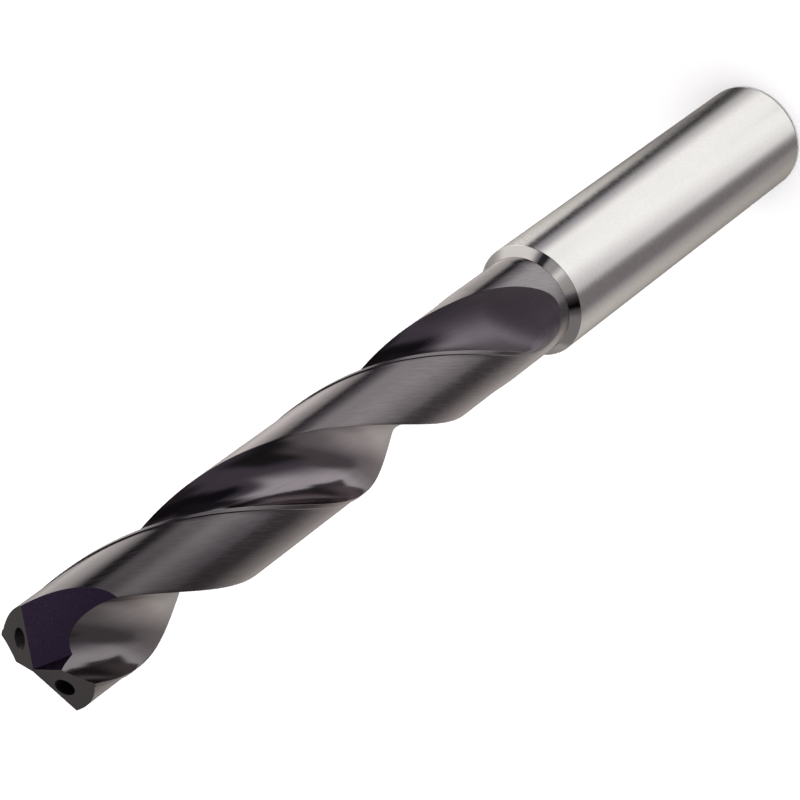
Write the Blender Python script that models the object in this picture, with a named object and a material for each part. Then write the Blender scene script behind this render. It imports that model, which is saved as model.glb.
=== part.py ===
"""Solid-carbide twist drill with helical flutes and coolant channels through its whole length.

The drill stands on its shank end with the point up. Its axis is Z, the origin is the centre of the
shank's end face, and both outer corners of the lips lie on the X axis. It is one piece of carbide,
so the model is one closed solid: a loft of ring sections, from which the point, the thinning gashes
and the coolant channels are cut.
"""

import math

import bmesh
import bpy
from mathutils import Matrix, Vector

MM = 0.001

# Lengths and diameters of the ground blank
SHANK_DIAMETER = 12.0 * MM
SHANK_LENGTH = 45.0 * MM
END_CHAMFER = 0.4 * MM
NECK_LENGTH = 1.3 * MM
CUT_DIAMETER = 10.2 * MM
FLUTE_LENGTH = 71.7 * MM

# Flutes, margins and body clearance
HELIX_LEAD = 64.0 * MM
WEB_THICKNESS = 4.0 * MM
FLUTE_OPENING = math.radians(90.0)
MARGIN_WIDTH = 0.4 * MM
CLEARANCE_DEPTH = 0.12 * MM
CLEARANCE_RUN_OUT = 3.0 * MM

# Grinding wheel that lifts out of the flute at its shank end
RUN_OUT_RADIUS = 15.0 * MM
WHEEL_ANGLE = math.radians(31.0)

# Point, ground with one facet behind each lip
POINT_ANGLE = math.radians(135.0)
LIP_RELIEF = math.radians(6.0)
LIP_OFFSET = 1.55 * MM

# Gashes that thin the web, measured from the lip that each one serves
GASH_REACH = 0.65 * MM
CHISEL_LENGTH = 0.24 * MM
GASH_SLOPE = math.radians(34.3)
GASH_WALL_TURN = math.radians(66.6)
GASH_ROOT_TURN = math.radians(60.0)

# Coolant channels, which follow the same helix as the flutes
CHANNEL_DIAMETER = 1.7 * MM
CHANNEL_CIRCLE = 5.5 * MM
CHANNEL_LAG = math.radians(33.0)

# Mesh steps
MARGIN_STEPS = 6
LAND_STEPS = 12
FLUTE_STEPS = 14
RUN_OUT_STEPS = 10
HELIX_STEP = math.radians(8.0)
CHANNEL_SIDES = 12
CHANNEL_STEP = math.radians(20.0)
WELD_DISTANCE = 0.001 * MM
SHARP_ANGLE = math.radians(28.0)
SETTLING_PASSES = 6

# Values that follow from the sizes above
CUT_RADIUS = CUT_DIAMETER / 2
SHANK_RADIUS = SHANK_DIAMETER / 2
WEB_RADIUS = WEB_THICKNESS / 2
FLUTE_END = SHANK_LENGTH + NECK_LENGTH
TIP_HEIGHT = FLUTE_END + FLUTE_LENGTH
MARGIN_ANGLE = MARGIN_WIDTH / CUT_RADIUS
CUTTER_SIZE = 2 * (SHANK_DIAMETER + CUT_DIAMETER)
OVERRUN = 1.0 * MM
BOTH_SIDES = (0.0, math.pi)

# The lip runs parallel to a diameter, LIP_OFFSET ahead of it
LIP_TURN = math.asin(LIP_OFFSET / CUT_RADIUS)
LIP_SPAN = CUT_RADIUS * math.cos(LIP_TURN)
POINT_SLOPE = 1 / math.tan(POINT_ANGLE / 2)
POINT_HEIGHT = LIP_SPAN * POINT_SLOPE - LIP_OFFSET * math.tan(LIP_RELIEF)
CORNER_HEIGHT = TIP_HEIGHT - POINT_HEIGHT

# The flute's section is an arc through both rims and tangent to the web
FLUTE_CENTRE = (CUT_RADIUS ** 2 - WEB_RADIUS ** 2) / (
    2 * (CUT_RADIUS * math.cos(FLUTE_OPENING / 2) - WEB_RADIUS)
)
FLUTE_RADIUS = FLUTE_CENTRE - WEB_RADIUS


def run_out_length():
    """Length over which the wheel lifts from full depth until it leaves the body."""
    drift = math.tan(WHEEL_ANGLE)
    lift = (1 + drift ** 2) / (2 * RUN_OUT_RADIUS)
    linear = 2 * lift * FLUTE_CENTRE + drift ** 2
    reach = (FLUTE_RADIUS + CUT_RADIUS) ** 2 - FLUTE_CENTRE ** 2
    root = math.sqrt(linear ** 2 + 4 * lift ** 2 * reach)
    return math.sqrt((root - linear) / (2 * lift ** 2))


RUN_OUT_LENGTH = run_out_length()
RUN_OUT_START = FLUTE_END + RUN_OUT_LENGTH


def polar(radius, angle, height):
    """A point given by its radius and angle about the axis, and its height."""
    return Vector((radius * math.cos(angle), radius * math.sin(angle), height))


def twist(height):
    """Angle of the first leading edge at a height: a right-hand helix from the outer corner."""
    return math.tau * (height - CORNER_HEIGHT) / HELIX_LEAD


def clearance(height):
    """Depth of the ground body behind the margins, which fades out before the flutes end."""
    share = (height - RUN_OUT_START) / CLEARANCE_RUN_OUT
    return CLEARANCE_DEPTH * min(max(share, 0.0), 1.0)


def flute_circle(height):
    """Direction and distance of the centre of the flute's arc in the section at a height."""
    start = max(height, RUN_OUT_START)
    travel = start - height
    drift = travel * math.tan(WHEEL_ANGLE)
    lift = (travel ** 2 + drift ** 2) / (2 * RUN_OUT_RADIUS)
    distance = math.hypot(FLUTE_CENTRE + lift, drift)
    turn = math.atan2(-drift, FLUTE_CENTRE + lift)
    return twist(start) + FLUTE_OPENING / 2 + turn, distance


def opening_half_angle(distance, radius):
    """Half of the angle that a flute takes out of a circle of the given radius."""
    cosine = (distance ** 2 + radius ** 2 - FLUTE_RADIUS ** 2) / (2 * distance * radius)
    return math.acos(min(cosine, 1.0))


def wall_angle(distance, radius, half_angle):
    """Angle about the flute's own centre of the point where the flute meets a circle."""
    across = radius * math.sin(half_angle)
    return math.atan2(across, distance - radius * math.cos(half_angle))


def spaced(start, end, steps):
    """Evenly spaced values from start to end, both included."""
    return [start + (end - start) * index / steps for index in range(steps + 1)]


def half_section(height):
    """One margin, land and flute at a height, as points that run against the cutting direction."""
    body = CUT_RADIUS - clearance(height)
    direction, distance = flute_circle(height)
    lead_half = opening_half_angle(distance, CUT_RADIUS)
    heel_half = opening_half_angle(distance, body)
    lead = direction - lead_half
    foot = twist(height) - MARGIN_ANGLE
    behind = direction - math.pi
    heel = behind + heel_half
    points = [polar(CUT_RADIUS, angle, height) for angle in spaced(lead, foot, MARGIN_STEPS)]
    points += [polar(body, angle, height) for angle in spaced(foot, heel, LAND_STEPS)]
    heel_wall = wall_angle(distance, body, heel_half)
    lead_wall = -wall_angle(distance, CUT_RADIUS, lead_half)
    to_flute = Matrix.Rotation(behind, 4, "Z")
    for angle in spaced(heel_wall, lead_wall, FLUTE_STEPS)[1:-1]:
        across = FLUTE_RADIUS * math.sin(angle)
        out = distance - FLUTE_RADIUS * math.cos(angle)
        points.append(to_flute @ Vector((out, across, height)))
    return points


def fluted_ring(height):
    """The whole section of the fluted body at a height."""
    half = half_section(height)
    turned = Matrix.Rotation(math.pi, 4, "Z")
    return half + [turned @ point for point in half]


def plain_ring(radius, height):
    """A round section whose points stand over those of the lowest fluted section."""
    ring = []
    for point in fluted_ring(FLUTE_END):
        angle = math.atan2(point.y, point.x)
        ring.append(polar(radius, angle, height))
    return ring


def station_heights():
    """Heights of the fluted sections, closer together where the flutes run out."""
    heights = []
    for angle in spaced(math.pi / 2, 0.0, RUN_OUT_STEPS):
        heights.append(RUN_OUT_START - RUN_OUT_LENGTH * math.sin(angle))
    top = TIP_HEIGHT + OVERRUN
    turn = twist(top) - twist(RUN_OUT_START)
    steps = math.ceil(turn / HELIX_STEP)
    return heights + spaced(RUN_OUT_START, top, steps)[1:]


def mesh_object(name, mesh_builder):
    """A new object whose mesh holds what mesh_builder holds, with its faces pointing out."""
    bmesh.ops.recalc_face_normals(mesh_builder, faces=mesh_builder.faces)
    mesh = bpy.data.meshes.new(name)
    mesh_builder.to_mesh(mesh)
    mesh_builder.free()
    result = bpy.data.objects.new(name, mesh)
    bpy.context.collection.objects.link(result)
    return result


def loft(name, rings):
    """A closed solid through rings of equally many points. Points that coincide are welded."""
    builder = bmesh.new()
    loops = [[builder.verts.new(point) for point in ring] for ring in rings]
    for lower, upper in zip(loops, loops[1:]):
        for index in range(len(lower)):
            corners = (lower[index - 1], lower[index], upper[index], upper[index - 1])
            builder.faces.new(corners)
    builder.faces.new(loops[0])
    builder.faces.new(loops[-1])
    bmesh.ops.remove_doubles(builder, verts=builder.verts, dist=WELD_DISTANCE)
    return mesh_object(name, builder)


def slanted_block(name, corner, first, second, third):
    """A block with flat faces, spanned by three edges from one corner."""
    edges = Matrix((first, second, third)).transposed().to_4x4()
    centred = Matrix.Translation((0.5, 0.5, 0.5))
    builder = bmesh.new()
    bmesh.ops.create_cube(builder, size=1.0, matrix=Matrix.Translation(corner) @ edges @ centred)
    return mesh_object(name, builder)


def lip_axes(side):
    """Directions outward along a lip and ahead of it, for the lip on one side."""
    turned = Matrix.Rotation(side - LIP_TURN, 3, "Z")
    return turned @ Vector((1, 0, 0)), turned @ Vector((0, 1, 0))


def flank_height(out, ahead):
    """Height of a flank at a place given along its lip and ahead of the axis."""
    return CORNER_HEIGHT + (LIP_SPAN - out) * POINT_SLOPE - (LIP_OFFSET - ahead) * math.tan(LIP_RELIEF)


def flank_cutter(side):
    """Block above one flank, whose lower face is the flank's plane."""
    outward, ahead = lip_axes(side)
    along = outward - Vector((0, 0, POINT_SLOPE))
    across = ahead + Vector((0, 0, math.tan(LIP_RELIEF)))
    middle = Vector((0, 0, flank_height(0, 0)))
    corner = middle - (along + across) * CUTTER_SIZE / 2
    up = Vector((0, 0, CUTTER_SIZE))
    return slanted_block("cut_flank", corner, along * CUTTER_SIZE, across * CUTTER_SIZE, up)


def lip_corner(side):
    """Point on a lip where its gash begins, GASH_REACH outside the web.

    The lip is where the twisted flute meets the flank, so its height and its angle are found in turn.
    """
    radius = WEB_RADIUS + GASH_REACH
    lead = side + FLUTE_OPENING / 2 - opening_half_angle(FLUTE_CENTRE, radius)
    outward, ahead = lip_axes(side)
    point = polar(radius, lead, CORNER_HEIGHT)
    for _ in range(SETTLING_PASSES):
        height = flank_height(point.dot(outward), point.dot(ahead))
        point = polar(radius, lead + twist(height), height)
    return point


def facing(vector, reference):
    """The vector or its opposite, whichever points to the same side as the reference."""
    return vector if vector.dot(reference) > 0 else -vector


def gash_cutter(side):
    """Wedge between a lip's thinned inner edge and the heel of the other land.

    One wall of the wedge is the flat cut across the heel, the other runs down from the thinned edge.
    They meet in the root, which falls from beside the chisel edge into the flute.
    """
    outward, ahead = lip_axes(side)
    upward = Vector((0, 0, 1))
    wall_facing = outward * math.cos(GASH_WALL_TURN) + ahead * math.sin(GASH_WALL_TURN)
    root_facing = outward * math.cos(GASH_ROOT_TURN) + ahead * math.sin(GASH_ROOT_TURN)
    wall_normal = wall_facing * math.cos(GASH_SLOPE) + upward * math.sin(GASH_SLOPE)
    root_fall = root_facing.dot(wall_facing) / math.tan(GASH_SLOPE)
    root = (root_facing - upward * root_fall).normalized()
    start = ahead * CHISEL_LENGTH / 2 + upward * flank_height(0, CHISEL_LENGTH / 2)
    edge_normal = facing(root.cross(lip_corner(side) - start), wall_normal).normalized()
    along_wall = facing(wall_normal.cross(root), edge_normal)
    along_edge = facing(edge_normal.cross(root), wall_normal)
    corner = start - root * CUTTER_SIZE / 2
    spans = (root * CUTTER_SIZE, along_wall * CUTTER_SIZE, along_edge * CUTTER_SIZE)
    return slanted_block("cut_gash", corner, *spans)


def channel_cutter(side):
    """Twisted round bar that leaves a coolant channel, open at the flank and at the shank end."""
    radius = CHANNEL_CIRCLE / 2
    bore = CHANNEL_DIAMETER / 2
    stretch = math.hypot(1.0, math.tau * radius / HELIX_LEAD)
    bottom = -OVERRUN
    top = TIP_HEIGHT + OVERRUN
    steps = math.ceil((twist(top) - twist(bottom)) / CHANNEL_STEP)
    rings = []
    for height in spaced(bottom, top, steps):
        turned = Matrix.Rotation(twist(height) + side - CHANNEL_LAG, 4, "Z")
        ring = []
        for turn in spaced(0.0, math.tau, CHANNEL_SIDES)[:-1]:
            out = radius + bore * math.cos(turn)
            across = bore * stretch * math.sin(turn)
            ring.append(turned @ Vector((out, across, height)))
        rings.append(ring)
    return loft("cut_channel", rings)


def drill_blank():
    """Shank, neck and fluted body as one loft, left too long at the tip for the flanks to trim."""
    step = abs(SHANK_RADIUS - CUT_RADIUS)
    rings = [
        plain_ring(SHANK_RADIUS - END_CHAMFER, 0.0),
        plain_ring(SHANK_RADIUS, END_CHAMFER),
        plain_ring(SHANK_RADIUS, SHANK_LENGTH - step),
        plain_ring(CUT_RADIUS, SHANK_LENGTH),
    ]
    rings += [fluted_ring(height) for height in station_heights()]
    return loft("drill", rings)


def subtract(target, cutter):
    """Take a cutter out of the target, and keep it as a wire guide."""
    cutter.hide_render = True
    cutter.display_type = "WIRE"
    modifier = target.modifiers.new(cutter.name, "BOOLEAN")
    modifier.operation = "DIFFERENCE"
    modifier.solver = "EXACT"
    modifier.object = cutter


def metal(name, colour, roughness):
    """A metallic material of one colour and roughness."""
    material = bpy.data.materials.new(name)
    material.use_nodes = True
    shader = material.node_tree.nodes["Principled BSDF"]
    shader.inputs["Base Color"].default_value = (*colour, 1.0)
    shader.inputs["Metallic"].default_value = 1.0
    shader.inputs["Roughness"].default_value = roughness
    return material


def dress(drill):
    """Bright ground shank, darker coated cutting body, and smooth round faces."""
    drill.data.materials.append(metal("coated_body", (0.24, 0.22, 0.24), 0.3))
    drill.data.materials.append(metal("ground_shank", (0.75, 0.74, 0.72), 0.25))
    for face in drill.data.polygons:
        if face.center.z < SHANK_LENGTH:
            face.material_index = 1
    drill.data.shade_smooth()
    drill.data.set_sharp_from_angle(angle=SHARP_ANGLE)


def main():
    """Build the drill in an empty scene."""
    for old in list(bpy.data.objects):
        bpy.data.objects.remove(old, do_unlink=True)
    drill = drill_blank()
    dress(drill)
    for make_cutter in (flank_cutter, gash_cutter, channel_cutter):
        for side in BOTH_SIDES:
            subtract(drill, make_cutter(side))


main()
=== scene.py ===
"""Looks of a coolant-fed solid-carbide twist drill that stands on the flat end of its shank.

The drill is ground from one piece of carbide, so it is one closed mesh here too: a loft through
finely spaced sections, from which the point, the thinning gashes and the coolant channels are cut.
Each surface shows the lay of the wheel that ground it. The cutting body is coated, the shank is not.
"""

from __future__ import annotations

import logging
import math
from collections.abc import Sequence
from dataclasses import dataclass
from enum import Enum

import bmesh
import bpy
from mathutils import Matrix, Vector

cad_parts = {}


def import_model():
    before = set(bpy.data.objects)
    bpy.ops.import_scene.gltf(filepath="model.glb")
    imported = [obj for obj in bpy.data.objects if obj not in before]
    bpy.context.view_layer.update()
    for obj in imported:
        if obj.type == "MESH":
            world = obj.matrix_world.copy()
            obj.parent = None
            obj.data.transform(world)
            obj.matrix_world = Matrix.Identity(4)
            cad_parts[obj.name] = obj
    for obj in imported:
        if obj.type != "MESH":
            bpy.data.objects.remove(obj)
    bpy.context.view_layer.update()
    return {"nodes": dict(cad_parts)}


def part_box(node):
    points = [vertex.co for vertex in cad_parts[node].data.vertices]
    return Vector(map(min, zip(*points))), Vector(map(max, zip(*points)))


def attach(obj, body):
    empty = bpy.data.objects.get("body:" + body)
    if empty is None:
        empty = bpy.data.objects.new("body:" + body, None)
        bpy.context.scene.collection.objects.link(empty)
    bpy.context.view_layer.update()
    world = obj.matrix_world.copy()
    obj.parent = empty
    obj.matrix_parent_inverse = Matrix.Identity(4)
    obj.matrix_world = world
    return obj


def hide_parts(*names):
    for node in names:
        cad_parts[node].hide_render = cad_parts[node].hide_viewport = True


Colour = tuple[float, float, float]

MM = 0.001
NODE = "drill"
BODY = "root"
BOTH_SIDES = (0.0, math.pi)
CUT_TOLERANCE = 0.01 * MM

log = logging.getLogger("drill")


class Surface(Enum):
    """The ground surfaces of the drill. Each value is the index of the surface's material slot."""

    SHANK = 0
    CHAMFER = 1
    LAND = 2
    FLUTE = 3
    FLANK = 4
    GASH = 5
    CHANNEL = 6


class Lay(Enum):
    """Direction of the fine marks that a grinding wheel leaves."""

    AROUND = "around the axis"
    HELICAL = "along the flutes"
    FACET = "down a flat facet"


def spaced(start: float, end: float, steps: int) -> list[float]:
    """Evenly spaced values.

    Args:
        start: First value.
        end: Last value.
        steps: Number of steps between them.

    Returns:
        The steps + 1 values, with both ends.
    """
    return [start + (end - start) * index / steps for index in range(steps + 1)]


def polar(radius: float, angle: float, height: float) -> Vector:
    """A point given by its radius and angle about the axis, and its height."""
    return Vector((radius * math.cos(angle), radius * math.sin(angle), height))


def eased(before: Vector, corner: Vector, after: Vector, steps: int) -> list[Vector]:
    """Soft bend that takes the place of a corner.

    Args:
        before: Point where the bend leaves the first side.
        corner: The sharp corner.
        after: Point where the bend reaches the second side.
        steps: Number of steps along the bend.

    Returns:
        Points from before to after, tangent to both sides of the corner.
    """
    points = []
    for share in spaced(0.0, 1.0, steps):
        first = before.lerp(corner, share)
        second = corner.lerp(after, share)
        points.append(first.lerp(second, share))
    return points


def facing(vector: Vector, reference: Vector) -> Vector:
    """The vector or its opposite, whichever points to the same side as the reference."""
    return vector if vector.dot(reference) > 0 else -vector


@dataclass
class Ring:
    """One section of the loft: a closed loop of points, and the surface that each side belongs to."""

    points: list[Vector]
    surfaces: list[Surface]


def mesh_object(name: str, builder: bmesh.types.BMesh) -> bpy.types.Object:
    """A new object in the scene whose mesh holds what the builder holds, with faces pointing out.

    Args:
        name: Name of the object and its mesh.
        builder: The mesh being built, which this call frees.

    Returns:
        The object.
    """
    bmesh.ops.recalc_face_normals(builder, faces=builder.faces)
    mesh = bpy.data.meshes.new(name)
    builder.to_mesh(mesh)
    builder.free()
    result = bpy.data.objects.new(name, mesh)
    bpy.context.scene.collection.objects.link(result)
    return result


def lofted(name: str, rings: Sequence[Ring], weld: float = 0.0005 * MM) -> bpy.types.Object:
    """A closed solid through rings of equally many points.

    Args:
        name: Name of the solid.
        rings: The sections, from the lowest to the highest.
        weld: Distance under which points become one.

    Returns:
        The solid, with each side's surface as its material index.
    """
    builder = bmesh.new()
    loops = [[builder.verts.new(point) for point in ring.points] for ring in rings]
    for lower, upper, ring in zip(loops, loops[1:], rings):
        for index, surface in enumerate(ring.surfaces):
            after = (index + 1) % len(lower)
            face = builder.faces.new((lower[index], lower[after], upper[after], upper[index]))
            face.material_index = surface.value
    for loop, ring in ((loops[0], rings[0]), (loops[-1], rings[-1])):
        builder.faces.new(loop).material_index = ring.surfaces[0].value
    bmesh.ops.remove_doubles(builder, verts=builder.verts, dist=weld)
    return mesh_object(name, builder)


def slanted_block(
    name: str, corner: Vector, spans: tuple[Vector, Vector, Vector]
) -> bpy.types.Object:
    """A block with flat faces that needn't be square to each other.

    Args:
        name: Name of the block.
        corner: One of its corners.
        spans: The three edges that start at the corner.

    Returns:
        The block.
    """
    edges = Matrix(spans).transposed().to_4x4()
    placed = Matrix.Translation(corner) @ edges @ Matrix.Translation((0.5, 0.5, 0.5))
    builder = bmesh.new()
    bmesh.ops.create_cube(builder, size=1.0, matrix=placed)
    return mesh_object(name, builder)


@dataclass(frozen=True)
class Helix:
    """Right-hand helix that the flutes, the margins and the coolant channels follow."""

    corner_height: float
    lead: float = 64.0 * MM

    def turn(self, height: float) -> float:
        """Angle of the first leading edge at a height. It is zero at the outer corner of the lip."""
        return math.tau * (height - self.corner_height) / self.lead


@dataclass(frozen=True)
class Shank:
    """Plain ground shank with a chamfer at each end, and the short neck that follows it."""

    diameter: float
    length: float = 45.0 * MM
    end_chamfer: float = 0.4 * MM
    neck_length: float = 1.3 * MM
    neck_diameter: float = 10.2 * MM
    edge_ease: float = 0.04 * MM
    root_ease: float = 0.02 * MM
    ease_steps: int = 5

    @property
    def top(self) -> float:
        """Height of the neck's upper end, where the flutes run out."""
        return self.length + self.neck_length

    def profile(self) -> list[tuple[float, float, Surface]]:
        """Half outline of the turned form.

        Returns:
            Radius, height and surface above it of each point, from the end face up to the neck.
        """
        radius, neck = self.diameter / 2, self.neck_diameter / 2
        shoulder = self.length - (radius - neck)
        outline = [
            Vector((radius - self.end_chamfer, 0.0)),
            Vector((radius, self.end_chamfer)),
            Vector((radius, shoulder)),
            Vector((neck, self.length)),
            Vector((neck, self.top)),
        ]
        eases = (self.edge_ease, self.edge_ease, self.root_ease)
        above = (Surface.SHANK, Surface.CHAMFER, Surface.LAND)
        points = [(outline[0].x, outline[0].y, Surface.CHAMFER)]
        corners = zip(outline, outline[1:], outline[2:], eases, above)
        for before, corner, after, ease, surface in corners:
            start = corner + (before - corner).normalized() * ease
            end = corner + (after - corner).normalized() * ease
            bends = eased(start, corner, end, self.ease_steps)
            points += [(bend.x, bend.y, surface) for bend in bends]
        return points


@dataclass(frozen=True)
class Flutes:
    """Two helical flutes with their margins and lands, and the run-out where the wheel lifts."""

    helix: Helix
    foot: float
    top: float
    diameter: float = 10.2 * MM
    web: float = 4.0 * MM
    opening: float = math.radians(90.0)
    margin_width: float = 0.4 * MM
    clearance_depth: float = 0.12 * MM
    clearance_fade: float = 3.0 * MM
    wheel_radius: float = 15.0 * MM
    wheel_angle: float = math.radians(31.0)
    hone: float = 0.035 * MM
    margin_foot: float = 0.18 * MM
    run_out_ease: float = 1.3 * MM
    drift_ease: float = 1.2 * MM
    ease_room: float = 0.4
    overrun: float = 1.0 * MM
    hone_steps: int = 3
    margin_steps: int = 12
    land_steps: int = 26
    flute_steps: int = 44
    run_out_steps: int = 44
    step_angle: float = math.radians(2.2)
    halvings: int = 40

    @property
    def radius(self) -> float:
        """Radius over the margins."""
        return self.diameter / 2

    @property
    def arc_centre(self) -> float:
        """Place of a flute's arc at full depth.

        Returns:
            Distance from the axis to the arc's centre.
        """
        web = self.web / 2
        rim = self.radius * math.cos(self.opening / 2)
        return (self.radius ** 2 - web ** 2) / (2 * (rim - web))

    @property
    def arc_radius(self) -> float:
        """Radius of a flute's arc."""
        return self.arc_centre - self.web / 2

    def wheel_path(self, travel: float) -> tuple[float, float]:
        """Path on which the wheel leaves a flute.

        Args:
            travel: Distance below the height where the flutes have their full depth.

        Returns:
            How far the wheel has moved sideways and outward there.
        """
        spare = math.tau * self.arc_centre / self.helix.lead - math.tan(self.wheel_angle)
        settled = self.drift_ease * (1 - math.exp(-travel / self.drift_ease))
        drift = travel * math.tan(self.wheel_angle) + spare * settled
        return drift, (travel ** 2 + drift ** 2) / (2 * self.wheel_radius)

    @property
    def run_out(self) -> float:
        """Length over which the wheel lifts from full depth until it leaves the body.

        Returns:
            The length, found by halving the range that holds it.
        """
        short, long = 0.0, self.wheel_radius
        for _ in range(self.halvings):
            travel = (short + long) / 2
            drift, lift = self.wheel_path(travel)
            if math.hypot(self.arc_centre + lift, drift) < self.arc_radius + self.radius:
                short = travel
            else:
                long = travel
        return short

    @property
    def full_depth(self) -> float:
        """Height above which the flutes have their full depth."""
        return self.foot + self.run_out

    def clearance(self, height: float) -> float:
        """Depth of the body behind the margins at a height. It fades out above the run-out."""
        share = (height - self.full_depth) / self.clearance_fade
        return self.clearance_depth * min(max(share, 0.0), 1.0)

    def arc_place(self, height: float) -> tuple[float, float]:
        """Place of a flute's arc in the section at a height.

        Args:
            height: Height of the section.

        Returns:
            Direction and distance of the arc's centre from the axis.
        """
        start = max(height, self.full_depth)
        drift, lift = self.wheel_path(start - height)
        turn = math.atan2(-drift, self.arc_centre + lift)
        distance = math.hypot(self.arc_centre + lift, drift)
        return self.helix.turn(start) + self.opening / 2 + turn, distance

    def rim(self, distance: float, radius: float) -> tuple[float, float]:
        """Where a flute's arc meets a circle about the axis.

        Args:
            distance: Distance of the arc's centre from the axis.
            radius: Radius of the circle.

        Returns:
            The meeting point's angle about the axis and about the arc's centre, from the line
            between the two centres.
        """
        cosine = (distance ** 2 + radius ** 2 - self.arc_radius ** 2) / (2 * distance * radius)
        angle = math.acos(min(cosine, 1.0))
        across = radius * math.sin(angle)
        return angle, math.atan2(across, distance - radius * math.cos(angle))

    def half_section(self, height: float) -> Ring:
        """One margin, land and flute at a height, in points that run against the cutting direction.

        Args:
            height: Height of the section.

        Returns:
            Half of the section, from the honed leading edge to the next one.
        """
        body = self.radius - self.clearance(height)
        direction, distance = self.arc_place(height)
        lead_angle, lead_wall = self.rim(distance, self.radius)
        heel_angle, heel_wall = self.rim(distance, body)
        lead = direction - lead_angle
        heel = direction - math.pi + heel_angle
        foot = self.helix.turn(height) - self.margin_width / self.radius
        room = self.ease_room * self.arc_radius * (lead_wall + heel_wall)
        share = min(max((self.full_depth - height) / self.run_out, 0.0), 1.0)
        honed = min(self.hone, room)
        soft = min(self.hone + self.run_out_ease * share, room)
        step = self.margin_foot * self.clearance(height) / self.clearance_depth
        to_flute = Matrix.Rotation(direction - math.pi, 4, "Z")

        def in_flute(angle: float) -> Vector:
            """Point of the flute's arc at an angle about the arc's centre."""
            across = self.arc_radius * math.sin(angle)
            return to_flute @ Vector((distance - self.arc_radius * math.cos(angle), across, height))

        def on_margin(angle: float) -> Vector:
            """Point at the margins' radius."""
            return polar(self.radius, angle, height)

        def on_land(angle: float) -> Vector:
            """Point at the cleared body's radius."""
            return polar(body, angle, height)

        start, end = heel_wall - honed / self.arc_radius, -lead_wall + soft / self.arc_radius
        after_foot, before_heel = foot - step / body, heel + honed / body
        after_lead = lead - soft / self.radius
        next_lead, next_after = lead - math.pi, lead - math.pi - soft / self.radius
        hones = self.hone_steps
        stretches = (
            (Surface.LAND, [on_margin(a) for a in spaced(after_lead, foot, self.margin_steps)]),
            (Surface.LAND, eased(on_margin(foot), on_land(foot), on_land(after_foot), hones)),
            (Surface.LAND, [on_land(a) for a in spaced(after_foot, before_heel, self.land_steps)]),
            (Surface.LAND, eased(on_land(before_heel), on_land(heel), in_flute(start), hones)),
            (Surface.FLUTE, [in_flute(a) for a in spaced(start, end, self.flute_steps)]),
            (Surface.FLUTE, eased(in_flute(end), on_margin(next_lead), on_margin(next_after), hones)),
        )
        ring = Ring([], [])
        for surface, points in stretches:
            ring.points += points[:-1]
            ring.surfaces += [surface] * (len(points) - 1)
        return ring

    def section(self, height: float) -> Ring:
        """The whole section at a height.

        Args:
            height: Height of the section.

        Returns:
            The section, which is two equal halves.
        """
        half = self.half_section(height)
        turned = Matrix.Rotation(math.pi, 4, "Z")
        return Ring(half.points + [turned @ point for point in half.points], half.surfaces * 2)

    def sections(self) -> list[Ring]:
        """All sections of the fluted body.

        Returns:
            The sections, closer together where the flutes run out, up to a little past the tip.
        """
        heights = [
            self.full_depth - self.run_out * math.sin(angle)
            for angle in spaced(math.pi / 2, 0.0, self.run_out_steps)
        ]
        top = self.top + self.overrun
        turn = self.helix.turn(top) - self.helix.turn(self.full_depth)
        heights += spaced(self.full_depth, top, math.ceil(turn / self.step_angle))[1:]
        return [self.section(height) for height in heights]


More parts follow.
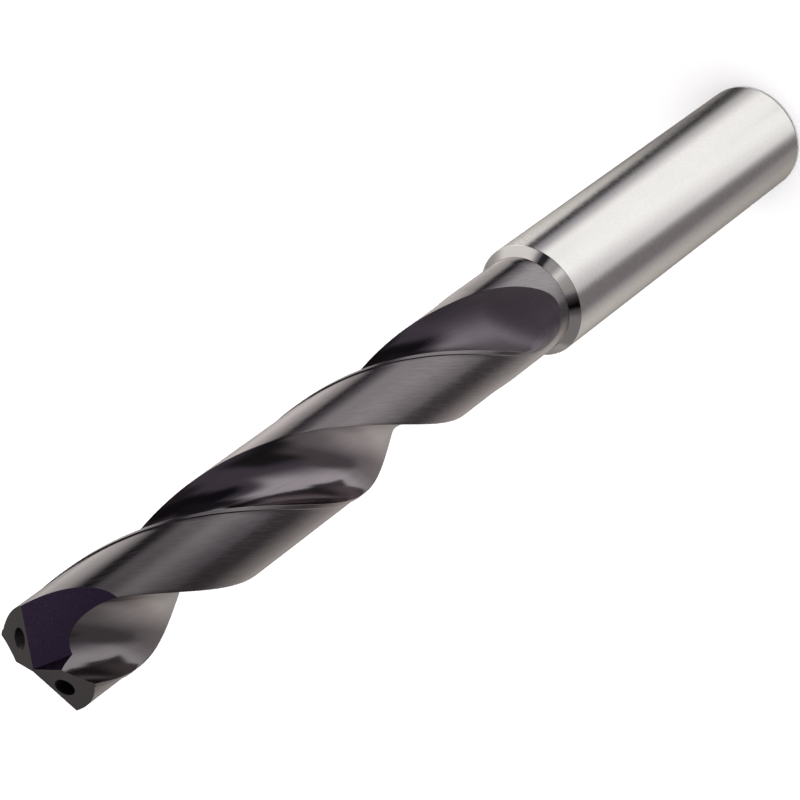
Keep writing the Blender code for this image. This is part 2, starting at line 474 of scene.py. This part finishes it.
@dataclass(frozen=True)
class Point:
    """Point with one flank behind each lip, and a gash that thins the web beside each lip."""

    radius: float
    top: float
    angle: float = math.radians(135.0)
    relief: float = math.radians(6.0)
    lip_offset: float = 1.55 * MM
    gash_reach: float = 0.65 * MM
    chisel_length: float = 0.24 * MM
    gash_slope: float = math.radians(32.5)
    gash_wall_turn: float = math.radians(69.0)
    gash_root_turn: float = math.radians(40.0)
    cutter_size: float = 45.0 * MM
    settling_passes: int = 6

    @property
    def lip_turn(self) -> float:
        """Angle between a lip and the diameter through its outer corner."""
        return math.asin(self.lip_offset / self.radius)

    @property
    def lip_span(self) -> float:
        """Distance of the outer corner from the axis, measured along the lip."""
        return self.radius * math.cos(self.lip_turn)

    @property
    def slope(self) -> float:
        """Fall of a flank along its lip."""
        return 1 / math.tan(self.angle / 2)

    @property
    def corner_height(self) -> float:
        """Height of the lips' outer corners."""
        return self.top - self.lip_span * self.slope + self.lip_offset * math.tan(self.relief)

    def lip_axes(self, side: float) -> tuple[Vector, Vector]:
        """Directions outward along a lip and ahead of it, for the lip on one side."""
        turned = Matrix.Rotation(side - self.lip_turn, 3, "Z")
        return turned @ Vector((1, 0, 0)), turned @ Vector((0, 1, 0))

    def flank_height(self, out: float, ahead: float) -> float:
        """Height of a flank at a place given along its lip and ahead of the axis."""
        rise = (self.lip_span - out) * self.slope
        return self.corner_height + rise - (self.lip_offset - ahead) * math.tan(self.relief)

    def flank_cutter(self, side: float) -> bpy.types.Object:
        """Block above one flank, whose lower face is the flank's plane.

        Args:
            side: Angle of the lip's side, zero or half a turn.

        Returns:
            The cutter, which carries the flank's surface.
        """
        outward, ahead = self.lip_axes(side)
        along = outward - Vector((0, 0, self.slope))
        across = ahead + Vector((0, 0, math.tan(self.relief)))
        middle = Vector((0, 0, self.flank_height(0, 0)))
        corner = middle - (along + across) * self.cutter_size / 2
        up = Vector((0, 0, self.cutter_size))
        spans = (along * self.cutter_size, across * self.cutter_size, up)
        return slanted_block("cut_flank", corner, spans)

    def lip_corner(self, side: float, flutes: Flutes) -> Vector:
        """Point on a lip where its gash begins, gash_reach outside the web.

        The lip is where the twisted flute meets the flank, so height and angle are found in turn.

        Args:
            side: Angle of the lip's side, zero or half a turn.
            flutes: The flutes that the lips end.

        Returns:
            The point.
        """
        radius = flutes.web / 2 + self.gash_reach
        lead = side + flutes.opening / 2 - flutes.rim(flutes.arc_centre, radius)[0]
        outward, ahead = self.lip_axes(side)
        point = polar(radius, lead, self.corner_height)
        for _ in range(self.settling_passes):
            height = self.flank_height(point.dot(outward), point.dot(ahead))
            point = polar(radius, lead + flutes.helix.turn(height), height)
        return point

    def gash_cutter(self, side: float, flutes: Flutes) -> bpy.types.Object:
        """Wedge between a lip's thinned inner edge and the heel of the other land.

        Args:
            side: Angle of the lip's side, zero or half a turn.
            flutes: The flutes that the gash opens into.

        Returns:
            The cutter, whose two walls meet in the gash's root.
        """
        outward, ahead = self.lip_axes(side)
        upward = Vector((0, 0, 1))
        wall_facing = outward * math.cos(self.gash_wall_turn) + ahead * math.sin(self.gash_wall_turn)
        root_facing = outward * math.cos(self.gash_root_turn) + ahead * math.sin(self.gash_root_turn)
        wall_normal = wall_facing * math.cos(self.gash_slope) + upward * math.sin(self.gash_slope)
        root_fall = root_facing.dot(wall_facing) / math.tan(self.gash_slope)
        root = (root_facing - upward * root_fall).normalized()
        half_chisel = self.chisel_length / 2
        start = ahead * half_chisel + upward * self.flank_height(0, half_chisel)
        edge_normal = facing(root.cross(self.lip_corner(side, flutes) - start), wall_normal)
        along_wall = facing(wall_normal.cross(root), edge_normal)
        along_edge = facing(edge_normal.normalized().cross(root), wall_normal)
        size = self.cutter_size
        return slanted_block(
            "cut_gash", start - root * size / 2, (root * size, along_wall * size, along_edge * size)
        )


@dataclass(frozen=True)
class CoolantChannels:
    """Two round channels through the whole drill, on the same helix as the flutes."""

    helix: Helix
    top: float
    diameter: float = 1.7 * MM
    circle: float = 5.5 * MM
    lag: float = math.radians(33.0)
    overrun: float = 1.0 * MM
    sides: int = 32
    step_angle: float = math.radians(8.0)

    def cutter(self, side: float) -> bpy.types.Object:
        """Twisted round bar that leaves one channel, open at the flank and at the shank's end.

        Args:
            side: Angle of the channel's side, zero or half a turn.

        Returns:
            The cutter.
        """
        radius, bore = self.circle / 2, self.diameter / 2
        stretch = math.hypot(1.0, math.tau * radius / self.helix.lead)
        bottom, top = -self.overrun, self.top + self.overrun
        turn = self.helix.turn(top) - self.helix.turn(bottom)
        rings = []
        for height in spaced(bottom, top, math.ceil(turn / self.step_angle)):
            turned = Matrix.Rotation(self.helix.turn(height) + side - self.lag, 4, "Z")
            angles = spaced(0.0, math.tau, self.sides)[:-1]
            circle = [
                turned @ Vector((radius + bore * math.cos(a), bore * stretch * math.sin(a), height))
                for a in angles
            ]
            rings.append(Ring(circle, [Surface.CHANNEL] * self.sides))
        return lofted("cut_channel", rings)


class Nodes:
    """Short way to add and link shader nodes in one tree."""

    def __init__(self, tree: bpy.types.NodeTree) -> None:
        """Start from an empty tree."""
        self.tree = tree
        tree.nodes.clear()

    def add(
        self, kind: str, settings: dict[str, object] | None = None, **inputs: object
    ) -> bpy.types.Node:
        """Add a node.

        Args:
            kind: Type of the node.
            settings: Properties of the node by name.
            **inputs: Values or source sockets by input name, or by number as in i0.

        Returns:
            The node.
        """
        node = self.tree.nodes.new(kind)
        for name, value in (settings or {}).items():
            setattr(node, name, value)
        for name, value in inputs.items():
            key = int(name[1:]) if name[1:].isdigit() and name[0] == "i" else name.replace("_", " ")
            if isinstance(value, bpy.types.NodeSocket):
                self.tree.links.new(value, node.inputs[key])
            else:
                node.inputs[key].default_value = value
        return node

    def maths(self, operation: str, *values: object) -> bpy.types.NodeSocket:
        """Result of a Math node with the given operation and values."""
        inputs = {f"i{index}": value for index, value in enumerate(values)}
        return self.add("ShaderNodeMath", {"operation": operation}, **inputs).outputs[0]

    def vector(self, operation: str, *values: object) -> bpy.types.NodeSocket:
        """Result of a Vector Math node with the given operation and values."""
        inputs = {f"i{index}": value for index, value in enumerate(values)}
        return self.add("ShaderNodeVectorMath", {"operation": operation}, **inputs).outputs[0]

    def length(self, value: object) -> bpy.types.NodeSocket:
        """Length of a vector."""
        node = self.add("ShaderNodeVectorMath", {"operation": "LENGTH"}, i0=value)
        return node.outputs["Value"]

    def noise(self, place: object, **inputs: float) -> bpy.types.NodeSocket:
        """Value of a Noise Texture at a place."""
        return self.add("ShaderNodeTexNoise", Vector=place, **inputs).outputs[0]

    def ranged(
        self, value: object, low: float, high: float, start: float = 0.0, end: float = 1.0
    ) -> bpy.types.NodeSocket:
        """A value mapped smoothly from one range to another.

        Args:
            value: The value.
            low: Where the first range starts.
            high: Where the first range ends.
            start: Where the second range starts.
            end: Where the second range ends.

        Returns:
            The mapped value, held at the ends of the second range.
        """
        node = self.add(
            "ShaderNodeMapRange", {"interpolation_type": "SMOOTHSTEP"},
            i0=value, i1=low, i2=high, i3=start, i4=end,
        )
        return node.outputs[0]

    def mixed(
        self, share: object, below: object, above: object, blend: str = "MIX"
    ) -> bpy.types.NodeSocket:
        """One colour laid over another by a share."""
        settings = {"data_type": "RGBA", "blend_type": blend}
        return self.add("ShaderNodeMix", settings, i0=share, i6=below, i7=above).outputs[2]


def opaque(colour: Colour) -> tuple[float, float, float, float]:
    """The colour with full alpha, as the shader sockets take it."""
    return (*colour, 1.0)


@dataclass(frozen=True)
class GroundFinish:
    """Finish of one ground surface: the tone of its coating or bare metal, and its grinding marks.
    Where neck and tip colours are given, the tone also holds painted light towards the neck and
    painted shade towards the tip.
    """

    surface: Surface
    lay: Lay
    colour: Colour
    edge_tint: Colour
    roughness: float
    anisotropy: float
    neck_roughness: float | None = None
    mark_tone: float = 0.12
    mark_roughness: float = 0.06
    mark_depth: float = 0.0
    mark_pitch: float = 0.05 * MM
    mark_length: float = 4.0 * MM
    cloud_tone: float = 0.03
    # Painted light and shade: the neck colour lightens the body towards the neck and the tip colour
    # darkens it towards the tip.
    painted_light_neck_colour: Colour | None = None
    painted_shade_tip_colour: Colour | None = None
    painted_light_and_roughness_neck_fade: tuple[float, float] = (46.0 * MM, 62.0 * MM)
    painted_shade_tip_fade: tuple[float, float] = (76.0 * MM, 112.0 * MM)
    facet_fall: float = 2.0 * MM
    lay_turn: float = 0.25
    cloud_scale: float = 260.0
    noise_span: tuple[float, float] = (0.3, 0.7)

    def along(
        self, nodes: Nodes, helix: Helix
    ) -> tuple[bpy.types.NodeSocket, bpy.types.NodeSocket]:
        """Where the marks run.

        Args:
            nodes: The material's nodes.
            helix: The helix of the flutes.

        Returns:
            Coordinates in which a mark is a short spot, and the marks' direction on the surface.
        """
        place = nodes.add("ShaderNodeTexCoord").outputs["Object"]
        parts = nodes.add("ShaderNodeSeparateXYZ", Vector=place)
        x, y, z = (parts.outputs[index] for index in range(3))
        fine, coarse = 1 / self.mark_pitch, 1 / self.mark_length
        back = nodes.maths("MULTIPLY", y, -1.0)
        if self.lay is Lay.AROUND:
            spot = nodes.vector("MULTIPLY", place, (coarse, coarse, fine))
            return spot, nodes.add("ShaderNodeCombineXYZ", X=back, Y=x, Z=0.0).outputs[0]
        if self.lay is Lay.FACET:
            spot = nodes.vector("MULTIPLY", place, (fine, fine, coarse))
            return spot, nodes.add("ShaderNodeCombineXYZ", X=x, Y=y, Z=-self.facet_fall).outputs[0]
        turn = nodes.maths("MULTIPLY", z, -math.tau / helix.lead)
        about = {"rotation_type": "Z_AXIS"}
        straight = nodes.add("ShaderNodeVectorRotate", about, Vector=place, Angle=turn)
        spot = nodes.vector("MULTIPLY", straight.outputs[0], (fine, fine, coarse))
        rise = helix.lead / math.tau
        return spot, nodes.add("ShaderNodeCombineXYZ", X=back, Y=x, Z=rise).outputs[0]

    def material(self, helix: Helix) -> bpy.types.Material:
        """The finish as a material.

        Args:
            helix: The helix that the marks of helical surfaces follow.

        Returns:
            The material.
        """
        material = bpy.data.materials.new(f"{self.surface.name.lower()}_finish")
        material.use_nodes = True
        nodes = Nodes(material.node_tree)
        spot, direction = self.along(nodes, helix)
        marks = nodes.noise(spot, Scale=1.0, Detail=3.0, Roughness=0.55)
        place = nodes.add("ShaderNodeTexCoord").outputs["Object"]
        cloud = nodes.noise(place, Scale=self.cloud_scale, Detail=2.0)
        colour = opaque(self.colour)
        height = nodes.add("ShaderNodeSeparateXYZ", Vector=place).outputs[2]
        # Painted light and shade along the body: lighter towards the neck, darker towards the tip.
        if self.painted_light_neck_colour is not None:
            share = nodes.ranged(height, *self.painted_light_and_roughness_neck_fade)
            colour = nodes.mixed(share, opaque(self.painted_light_neck_colour), colour)
        if self.painted_shade_tip_colour is not None:
            share = nodes.ranged(height, *self.painted_shade_tip_fade)
            colour = nodes.mixed(share, colour, opaque(self.painted_shade_tip_colour))
        mark_tone = nodes.ranged(marks, *self.noise_span, 1 - self.mark_tone, 1 + self.mark_tone)
        cloud_tone = nodes.ranged(cloud, *self.noise_span, 1 - self.cloud_tone, 1 + self.cloud_tone)
        tone = nodes.maths("MULTIPLY", mark_tone, cloud_tone)
        grey = nodes.add("ShaderNodeCombineXYZ", X=tone, Y=tone, Z=tone).outputs[0]
        smooth, dull = self.roughness - self.mark_roughness, self.roughness + self.mark_roughness
        rough = nodes.ranged(marks, *self.noise_span, smooth, dull)
        if self.neck_roughness is not None:
            coarse = nodes.ranged(height, *self.painted_light_and_roughness_neck_fade, self.neck_roughness - self.roughness, 0.0)
            rough = nodes.maths("ADD", rough, coarse)
        shader = nodes.add(
            "ShaderNodeBsdfPrincipled",
            Base_Color=nodes.mixed(1.0, colour, grey, "MULTIPLY"),
            Metallic=1.0,
            Roughness=rough,
            Specular_Tint=opaque(self.edge_tint),
            Anisotropic=self.anisotropy,
            Anisotropic_Rotation=self.lay_turn,
            Tangent=nodes.vector("NORMALIZE", direction),
        )
        if self.mark_depth:
            bump = nodes.add("ShaderNodeBump", Strength=1.0, Distance=self.mark_depth, Height=marks)
            nodes.tree.links.new(bump.outputs[0], shader.inputs["Normal"])
        nodes.add("ShaderNodeOutputMaterial", Surface=shader.outputs[0])
        return material


FINISHES = (
    GroundFinish(
        Surface.SHANK, Lay.AROUND, colour=(0.85, 0.835, 0.82), edge_tint=(0.58, 0.56, 0.54),
        roughness=0.16, anisotropy=0.35, mark_tone=0.05, mark_roughness=0.04,
        mark_pitch=0.14 * MM, mark_length=0.5 * MM, cloud_tone=0.01,
    ),
    GroundFinish(
        Surface.CHAMFER, Lay.AROUND, colour=(0.86, 0.845, 0.83), edge_tint=(0.58, 0.56, 0.54),
        roughness=0.08, anisotropy=0.2, mark_tone=0.03, mark_roughness=0.02, mark_pitch=0.06 * MM,
    ),
    GroundFinish(
        Surface.LAND, Lay.HELICAL, colour=(0.215, 0.195, 0.205), edge_tint=(1.0, 0.97, 0.95),
        roughness=0.21, anisotropy=0.4, neck_roughness=0.15, mark_tone=0.13, mark_pitch=0.10 * MM,
        # The neck colour here is painted light and the tip colour painted shade.
        mark_length=1.4 * MM, mark_depth=0.0006 * MM, painted_light_neck_colour=(0.275, 0.257, 0.268),
        painted_shade_tip_colour=(0.125, 0.115, 0.12),
    ),
    GroundFinish(
        Surface.FLUTE, Lay.HELICAL, colour=(0.27, 0.24, 0.26), edge_tint=(1.0, 0.97, 0.95),
        roughness=0.13, anisotropy=0.5, neck_roughness=0.54, mark_tone=0.05, mark_roughness=0.02,
        # The neck colour here is painted light and the tip colour painted shade.
        mark_pitch=0.12 * MM, mark_length=5.0 * MM, painted_light_neck_colour=(0.335, 0.30, 0.335),
        painted_light_and_roughness_neck_fade=(54.0 * MM, 63.0 * MM), painted_shade_tip_colour=(0.20, 0.182, 0.192),
    ),
    GroundFinish(
        Surface.FLANK, Lay.FACET, colour=(0.138, 0.131, 0.132), edge_tint=(1.0, 0.97, 0.95),
        roughness=0.33, anisotropy=0.4, mark_tone=0.06, mark_pitch=0.06 * MM, mark_length=1.5 * MM,
    ),
    GroundFinish(
        # The dark violet colour is partly the coating's tone and partly painted shade in the gash.
        Surface.GASH, Lay.FACET, colour=(0.092, 0.066, 0.119), edge_tint=(1.0, 0.95, 1.0),
        roughness=0.24, anisotropy=0.5, mark_tone=0.10, mark_pitch=0.08 * MM, mark_length=1.5 * MM,
    ),
    GroundFinish(
        Surface.CHANNEL, Lay.HELICAL, colour=(0.18, 0.165, 0.17), edge_tint=(1.0, 1.0, 1.0),
        roughness=0.5, anisotropy=0.0, mark_tone=0.1,
    ),
)


@dataclass
class TwistDrill:
    """The whole drill: one carbide piece, ground and coated."""

    shank: Shank
    flutes: Flutes
    point: Point
    channels: CoolantChannels
    finishes: tuple[GroundFinish, ...] = FINISHES
    sharp_angle: float = math.radians(24.0)

    @classmethod
    def in_box(cls, low: Vector, high: Vector) -> TwistDrill:
        """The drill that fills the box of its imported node.

        Args:
            low: Lowest corner of the node's box.
            high: Highest corner of the node's box.

        Returns:
            The drill, not yet built.
        """
        shank = Shank(diameter=high.x - low.x)
        point = Point(radius=shank.neck_diameter / 2, top=high.z)
        helix = Helix(corner_height=point.corner_height)
        flutes = Flutes(helix=helix, foot=shank.top, top=high.z)
        return cls(shank, flutes, point, CoolantChannels(helix=helix, top=high.z))

    def blank(self) -> bpy.types.Object:
        """Shank, neck and fluted body as one loft.

        Returns:
            The blank, left too long at the tip for the flanks to trim.
        """
        sections = self.flutes.sections()
        rings = [
            Ring(
                [polar(radius, math.atan2(point.y, point.x), height) for point in sections[0].points],
                [surface] * len(sections[0].points),
            )
            for radius, height, surface in self.shank.profile()
        ]
        return lofted("carbide_drill", rings + sections)

    def cutters(self) -> list[bpy.types.Object]:
        """Everything that is ground or drilled out of the blank, each with its surface.

        Returns:
            The cutters. Both flanks come first, then the gashes, then the channels.
        """
        made = [(self.point.flank_cutter(side), Surface.FLANK) for side in BOTH_SIDES]
        made += [(self.point.gash_cutter(side, self.flutes), Surface.GASH) for side in BOTH_SIDES]
        made += [(self.channels.cutter(side), Surface.CHANNEL) for side in BOTH_SIDES]
        for cutter, surface in made:
            for face in cutter.data.polygons:
                face.material_index = surface.value
        return [cutter for cutter, _ in made]

    def build(self) -> bpy.types.Object:
        """Model the drill.

        Returns:
            The finished piece, with its cutters applied and removed.
        """
        piece = self.blank()
        cutters = self.cutters()
        materials = [finish.material(self.flutes.helix) for finish in self.finishes]
        for part in (piece, *cutters):
            for material in materials:
                part.data.materials.append(material)
        for cutter in cutters:
            modifier = piece.modifiers.new(cutter.name, "BOOLEAN")
            modifier.operation = "DIFFERENCE"
            modifier.solver = "EXACT"
            modifier.object = cutter
        graph = bpy.context.evaluated_depsgraph_get()
        ground = bpy.data.meshes.new_from_object(piece.evaluated_get(graph))
        piece.modifiers.clear()
        piece.data = ground
        for cutter in cutters:
            bpy.data.objects.remove(cutter, do_unlink=True)
        top = max(vertex.co.z for vertex in ground.vertices) - self.point.top
        reach = max(vertex.co.xy.length for vertex in ground.vertices) - self.shank.diameter / 2
        if max(top, reach) > CUT_TOLERANCE:
            raise RuntimeError("a cut left the blank's surface open")
        piece.data.shade_smooth()
        piece.data.set_sharp_from_angle(angle=self.sharp_angle)
        return piece


@dataclass(frozen=True)
class Edge:
    """Soft edge of a panel: the middle of its fall-off and half its width, in degrees."""

    at: float
    soft: float

    def span(self, middle: float = 0.0) -> tuple[float, float]:
        """Where the fall-off starts and ends, measured from a middle."""
        return self.at - middle - self.soft, self.at - middle + self.soft


@dataclass(frozen=True)
class Panel:
    """Softbox or flag in the studio, which only the metal's reflections show.

    The panels hang like long strips along Y. Left and right are angles across the strips, from
    straight down towards +X. Low and high are angles along them, towards +Y, up to 90. Lean moves
    the panel to the right by so many degrees for each degree along the strips.
    """

    tone: Colour
    left: Edge
    right: Edge
    low: Edge
    high: Edge
    lean: float = 0.0

    def over(
        self, nodes: Nodes, across: object, along: object, below: object
    ) -> bpy.types.NodeSocket:
        """Lay the panel over what is behind it.

        Args:
            nodes: The world's nodes.
            across: Angle of the ray across the strips, in degrees.
            along: Angle of the ray along the strips, in degrees.
            below: Colour of what is behind the panel.

        Returns:
            Colour with the panel.
        """
        middle = (self.left.at + self.right.at) / 2
        level = (self.low.at + self.high.at) / 2
        shift = nodes.maths("MULTIPLY", nodes.maths("SUBTRACT", along, level), self.lean)
        aside = nodes.maths("SUBTRACT", nodes.maths("SUBTRACT", across, middle), shift)
        aside = nodes.maths("WRAP", aside, 180.0, -180.0)
        masks = (
            nodes.ranged(aside, *self.left.span(middle)),
            nodes.ranged(aside, *self.right.span(middle), 1.0, 0.0),
            nodes.ranged(along, *self.low.span()),
            nodes.ranged(along, *self.high.span(), 1.0, 0.0),
        )
        share = masks[0]
        for mask in masks[1:]:
            share = nodes.maths("MULTIPLY", share, mask)
        return nodes.mixed(share, below, opaque(self.tone))


@dataclass(frozen=True)
class Studio:
    """Pale paper under the drill, a soft lamp above it, and the panels that the metal reflects.

    The metal mirrors the panels and not the paper, as it does between softboxes and flags that hang
    close round it. A later panel covers the ones before it. The paper shows to the camera, takes the
    drill's shadow and fades into a bright backdrop between the two distances of backdrop_fade.
    """

    gloom: Colour = (0.165, 0.145, 0.175)
    panels: tuple[Panel, ...] = (
        Panel((0.95, 0.95, 0.95), Edge(150, 8), Edge(212, 8), Edge(-30, 8), Edge(16, 8)),
        Panel((0.33, 0.31, 0.31), Edge(-182, 12), Edge(-84, 8), Edge(-91, 1), Edge(-14, 8)),
        Panel((0.18, 0.17, 0.165), Edge(86, 8), Edge(116, 8), Edge(-91, 1), Edge(-22, 6)),
        Panel((0.32, 0.305, 0.295), Edge(-60, 14), Edge(88, 12), Edge(-91, 1), Edge(-22, 12)),
        Panel((0.75, 0.72, 0.69), Edge(-18, 22), Edge(60, 24), Edge(-65, 9), Edge(-34, 16)),
        Panel((0.42, 0.40, 0.39), Edge(-38, 10), Edge(30, 6), Edge(-26, 8), Edge(-6, 4)),
        Panel((1.06, 1.055, 1.045), Edge(-28, 13), Edge(46, 20), Edge(-4, 11), Edge(52, 6), lean=0.2),
        Panel((0.11, 0.105, 0.11), Edge(2, 2), Edge(17, 1.5), Edge(6.5, 1.5), Edge(27, 3), lean=-0.35),
        Panel((0.015, 0.015, 0.02), Edge(-70, 6), Edge(50, 14), Edge(63, 4), Edge(91, 1)),
        Panel((0.02, 0.018, 0.02), Edge(-190, 4), Edge(190, 4), Edge(74, 5), Edge(91, 1)),
        Panel((0.05, 0.045, 0.05), Edge(99, 6), Edge(130, 8), Edge(56, 6), Edge(76, 4)),
        Panel((0.02, 0.02, 0.02), Edge(-179, 4), Edge(-157, 4), Edge(41, 4), Edge(80, 4)),
        Panel((0.03, 0.03, 0.035), Edge(-60, 4), Edge(-27, 5), Edge(41, 5), Edge(85, 3)),
        Panel((0.30, 0.285, 0.275), Edge(158, 6), Edge(177, 8), Edge(44, 4), Edge(62, 4)),
        Panel((0.08, 0.073, 0.072), Edge(112, 4), Edge(135, 6), Edge(-22, 5), Edge(11, 4)),
        Panel((0.26, 0.248, 0.24), Edge(122, 6), Edge(142, 6), Edge(14, 4), Edge(32, 5)),
        Panel((0.78, 0.75, 0.735), Edge(138, 6), Edge(176, 8), Edge(14, 8), Edge(46, 6), lean=0.35),
        Panel((0.36, 0.35, 0.34), Edge(-100, 10), Edge(-62, 8), Edge(-40, 8), Edge(4, 8)),
        Panel((0.70, 0.675, 0.655), Edge(-146, 8), Edge(-70, 6), Edge(3, 10), Edge(56, 10)),
        Panel((0.83, 0.81, 0.79), Edge(-67, 5), Edge(-39, 2.5), Edge(-26, 5), Edge(38, 5)),
        Panel((1.85, 1.82, 1.77), Edge(-72, 6), Edge(-47.5, 3.5), Edge(-10, 5), Edge(38, 5)),
        Panel((0.04, 0.04, 0.04), Edge(-40.7, 2.5), Edge(-34, 4), Edge(-8, 6), Edge(48, 6), lean=-0.1),
        Panel((0.19, 0.175, 0.175), Edge(35, 8), Edge(92, 6), Edge(-17, 7), Edge(9, 6), lean=1.0),
        Panel((0.03, 0.03, 0.03), Edge(71, 9), Edge(95, 5), Edge(-3, 7), Edge(30, 7), lean=0.3),
        Panel((0.03, 0.03, 0.03), Edge(84, 6), Edge(97, 4), Edge(-30, 8), Edge(24, 6)),
        Panel((0.0, 0.0, 0.0), Edge(108, 3), Edge(124, 3), Edge(-13, 5), Edge(9, 4)),
    )
    paper: Colour = (0.93, 0.93, 0.93)
    backdrop: Colour = (0.985, 0.985, 0.985)
    backdrop_fade: tuple[float, float] = (0.16, 0.5)
    tooth_scale: float = 900.0
    tooth_tone: float = 0.995
    tooth_span: tuple[float, float] = (0.2, 0.8)
    paper_radius: float = 1.6
    paper_sides: int = 96
    wall_height: float = 1.8
    lamp_place: tuple[float, float, float] = (0.25, 0.1, 1.6)
    lamp_aim: tuple[float, float, float] = (0.0, 0.0, 0.045)
    lamp_size: float = 2.0
    lamp_power: float = 35.0

    def world(self) -> None:
        """Fill the world with the panels."""
        world = bpy.data.worlds.new("studio")
        bpy.context.scene.world = world
        world.use_nodes = True
        nodes = Nodes(world.node_tree)
        ray = nodes.add("ShaderNodeTexCoord").outputs["Generated"]
        parts = nodes.add("ShaderNodeSeparateXYZ", Vector=ray)
        x, y, z = (parts.outputs[index] for index in range(3))
        down = nodes.maths("MULTIPLY", z, -1.0)
        across = nodes.maths("DEGREES", nodes.maths("ARCTAN2", x, down))
        along = nodes.maths("DEGREES", nodes.maths("ARCSINE", y))
        colour = opaque(self.gloom)
        for panel in self.panels:
            colour = panel.over(nodes, across, along, colour)
        light = nodes.add("ShaderNodeBackground", Color=colour, Strength=1.0)
        nodes.add("ShaderNodeOutputWorld", Surface=light.outputs[0])

    def paper_material(self) -> bpy.types.Material:
        """Matt pale paper with a faint tooth, which fades into a plain bright backdrop far off.

        Returns:
            The material.
        """
        material = bpy.data.materials.new("pale_paper")
        material.use_nodes = True
        nodes = Nodes(material.node_tree)
        place = nodes.add("ShaderNodeTexCoord").outputs["Object"]
        tooth = nodes.noise(place, Scale=self.tooth_scale, Detail=2.0)
        share = nodes.ranged(tooth, *self.tooth_span)
        low = opaque(tuple(tone * self.tooth_tone for tone in self.paper))
        paper = nodes.add(
            "ShaderNodeBsdfPrincipled",
            Base_Color=nodes.mixed(share, low, opaque(self.paper)),
            Roughness=1.0,
            Specular_IOR_Level=0.0,
        )
        glow = nodes.add("ShaderNodeEmission", Color=opaque(self.backdrop), Strength=1.0)
        far = nodes.ranged(nodes.length(place), *self.backdrop_fade)
        shader = nodes.add("ShaderNodeMixShader", Fac=far, i1=paper.outputs[0], i2=glow.outputs[0])
        nodes.add("ShaderNodeOutputMaterial", Surface=shader.outputs[0])
        return material

    def paper_loop(self, builder: bmesh.types.BMesh, height: float) -> list[bmesh.types.BMVert]:
        """Round loop of vertices at the paper's rim."""
        angles = spaced(0.0, math.tau, self.paper_sides)[:-1]
        return [builder.verts.new(polar(self.paper_radius, angle, height)) for angle in angles]

    def floor_mesh(self) -> bpy.types.Object:
        """Flat round paper that the drill stands on.

        Returns:
            The floor.
        """
        builder = bmesh.new()
        builder.faces.new(self.paper_loop(builder, 0.0))
        return mesh_object("paper_floor", builder)

    def wall_mesh(self) -> bpy.types.Object:
        """Upright paper all round the floor.

        Returns:
            The wall.
        """
        builder = bmesh.new()
        lower = self.paper_loop(builder, 0.0)
        upper = self.paper_loop(builder, self.wall_height)
        for index in range(self.paper_sides):
            builder.faces.new((lower[index - 1], lower[index], upper[index], upper[index - 1]))
        return mesh_object("paper_wall", builder)

    def paper_sweep(self) -> None:
        """Lay out floor and wall, neither of which the metal mirrors. The wall takes no light."""
        material = self.paper_material()
        floor, wall = self.floor_mesh(), self.wall_mesh()
        for sheet in (floor, wall):
            sheet.data.materials.append(material)
            sheet.visible_glossy = False
        wall.visible_diffuse = False
        wall.visible_shadow = False

    def lamp(self) -> None:
        """Hang the soft lamp that lights the paper, out of the metal's and the camera's sight."""
        data = bpy.data.lights.new("paper_lamp", "AREA")
        data.shape = "RECTANGLE"
        data.size = data.size_y = self.lamp_size
        data.energy = self.lamp_power
        lamp = bpy.data.objects.new("paper_lamp", data)
        bpy.context.scene.collection.objects.link(lamp)
        place = Vector(self.lamp_place)
        lamp.location = place
        lamp.rotation_euler = (Vector(self.lamp_aim) - place).to_track_quat("-Z", "Y").to_euler()
        lamp.visible_camera = False
        lamp.visible_glossy = False

    def build(self) -> None:
        """Set up the world, the paper and the lamp."""
        self.world()
        self.paper_sweep()
        self.lamp()


@dataclass(frozen=True)
class PhotoCamera:
    """Camera that sees the standing drill as the photograph shows it, with the tip nearest."""

    azimuth: float = math.radians(50.0)
    elevation: float = math.radians(43.551)
    roll: float = math.radians(-126.626)
    distance: float = 268.42 * MM
    aim: tuple[float, float, float] = (0.138 * MM, -0.116 * MM, 66.661 * MM)
    lens: float = 128.53
    sensor: float = 36.0
    clip_start: float = 10.0 * MM

    def build(self) -> bpy.types.Object:
        """Create the camera and make it the scene's own.

        Returns:
            The camera.
        """
        data = bpy.data.cameras.new("photo_camera")
        data.lens = self.lens
        data.sensor_width = self.sensor
        data.clip_start = self.clip_start
        camera = bpy.data.objects.new("photo_camera", data)
        bpy.context.scene.collection.objects.link(camera)
        turn = (
            Matrix.Rotation(self.azimuth + math.pi / 2, 4, "Z")
            @ Matrix.Rotation(math.pi / 2 - self.elevation, 4, "X")
            @ Matrix.Rotation(self.roll, 4, "Z")
        )
        back = Matrix.Translation((0, 0, self.distance))
        camera.matrix_world = Matrix.Translation(self.aim) @ turn @ back
        bpy.context.scene.camera = camera
        return camera


def main() -> None:
    """Build the drill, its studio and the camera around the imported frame."""
    logging.basicConfig(level=logging.INFO, format="%(name)s: %(message)s")
    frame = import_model()
    log.info("frame holds %s", ", ".join(sorted(frame["nodes"])))

    drill = TwistDrill.in_box(*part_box(NODE))
    piece = drill.build()
    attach(piece, BODY)
    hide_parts(NODE)
    faces, corners = len(piece.data.polygons), drill.point.corner_height / MM
    log.info("%s: %d faces, corners of the lips at %.2f mm", piece.name, faces, corners)

    Studio().build()
    log.info("studio: world panels, paper floor, paper wall and lamp")
    camera = PhotoCamera().build()
    log.info("%s: lens %.1f mm", camera.name, camera.data.lens)
    bpy.context.scene.view_settings.view_transform = "Standard"


if __name__ == "__main__":
    main()
